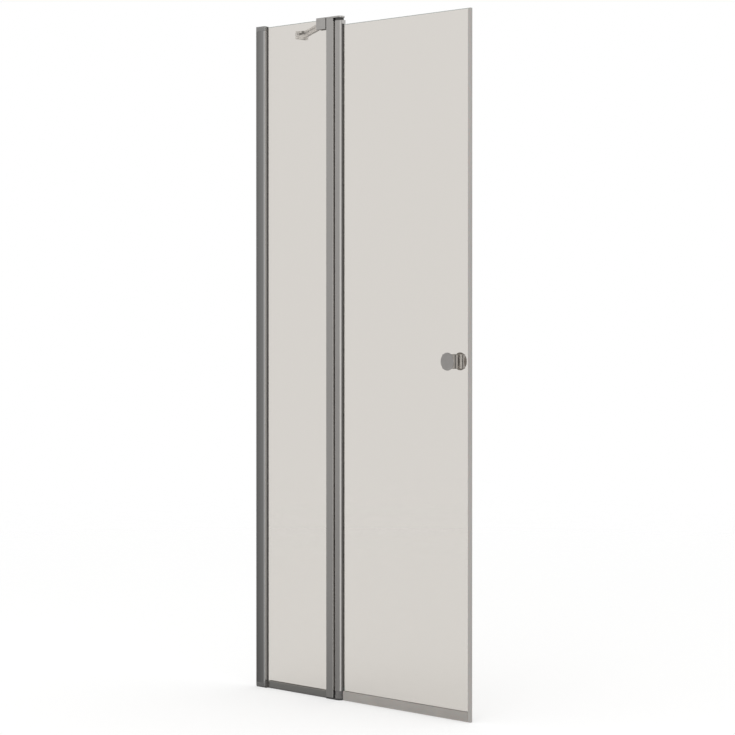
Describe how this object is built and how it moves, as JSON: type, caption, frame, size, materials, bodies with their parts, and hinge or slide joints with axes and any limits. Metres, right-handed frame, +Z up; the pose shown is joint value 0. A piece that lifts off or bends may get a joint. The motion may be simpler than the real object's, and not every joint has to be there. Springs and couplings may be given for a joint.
{
  "type": "hinged shower door",
  "caption": "Clear glass shower door in one line: a fixed panel at the wall, a door on a lifting hinge post, a round knob, edge seals and a top brace to the wall.",
  "frame": {"origin": "where the pivot axis meets the shower tray, on the underside of the bottom hinge plate and midway through the glass", "axes": "+Z up along the pivot axis; +X across the width, from the wall to the strike edge; +Y into the shower, so the knob's pictured face and the outward opening are at -Y"},
  "size_m": [0.88, 0.2185, 2],
  "materials": {
    "satin_aluminium": "satin anodised",
    "chrome": "polished",
    "clear_glass": "clear float glass with a pale grey cast",
    "black_rubber": "matt",
    "grey_vinyl": "satin",
    "clear_vinyl": "clear",
    "dark_nylon": "matt",
    "steel": "plain"
  },
  "bodies": {
    "wall": {"wall_channel": "satin_aluminium"},
    "frame": {"wall_profile": "satin_aluminium", "wall_top_cap": "satin_aluminium", "wall_bottom_cap": "satin_aluminium", "wall_foot_pad": "black_rubber", "wall_gasket_front": "black_rubber", "wall_gasket_back": "clear_vinyl", "adjuster_screws": "steel", "adjuster_nuts": "steel", "adjuster_covers": "satin_aluminium", "fixed_glass": "clear_glass", "bottom_rail": "satin_aluminium", "rail_gasket": "clear_vinyl", "rail_foot_strip": "black_rubber", "post_profile": "satin_aluminium", "post_gaskets": "clear_vinyl", "post_lip_seal": "black_rubber", "top_hinge_plate": "chrome", "top_plate_screws": "steel", "top_bush": "dark_nylon", "bottom_hinge_plate": "dark_nylon", "bottom_plate_screws": "steel", "bearing_foot": "dark_nylon", "pivot_pin": "steel", "lower_cam": "dark_nylon", "brace_block": "chrome", "brace_liner": "black_rubber", "brace_grub_screws": "steel", "brace_pin": "steel"},
    "spindle": {"top_spindle": "steel", "spindle_clip": "steel"},
    "door": {"hinge_tube": "satin_aluminium", "hinge_top_cap": "chrome", "hinge_gasket_front": "black_rubber", "hinge_gasket_back": "clear_vinyl", "upper_guide": "dark_nylon", "lower_bush": "dark_nylon", "upper_cam": "dark_nylon", "door_glass": "clear_glass", "door_sweep": "grey_vinyl", "door_sweep_lip": "grey_vinyl", "strike_seal": "grey_vinyl", "magnet_strip": "black_rubber", "knob_front_head": "chrome", "knob_front_base": "chrome", "knob_back_head": "chrome", "knob_back_base": "chrome", "knob_stud": "steel", "knob_washers": "clear_vinyl", "knob_sleeve": "dark_nylon", "knob_grub_screw": "steel"},
    "brace": {"brace_bar": "chrome"},
    "flange": {"wall_flange": "chrome", "flange_pin": "steel"}
  },
  "joints": [
    {"name": "wall_adjust", "type": "slide", "parent": "wall", "child": "frame", "axis": [1, 0, 0], "range_m": [0, 0.01]},
    {"name": "door_swing", "type": "hinge", "parent": "frame", "child": "spindle", "pos_m": [0, 0, 0], "axis": [0, 0, -1], "range_deg": [0, 100]},
    {"name": "door_lift", "type": "slide", "parent": "spindle", "child": "door", "axis": [0, 0, 1], "range_m": [0, 0.006]},
    {"name": "brace_swivel", "type": "hinge", "parent": "frame", "child": "brace", "pos_m": [-0.0825, 0.0185, 1.9905], "axis": [0, 0, 1], "range_deg": [-35, 0]},
    {"name": "flange_swivel", "type": "hinge", "parent": "brace", "child": "flange", "pos_m": [-0.3355, 0.168, 1.9905], "axis": [0, 0, 1], "range_deg": [-30, 30]}
  ],
  "couplings": [
    {"joint": "door_lift", "follows": "door_swing", "m_per_rad": 0.003437}
  ]
}
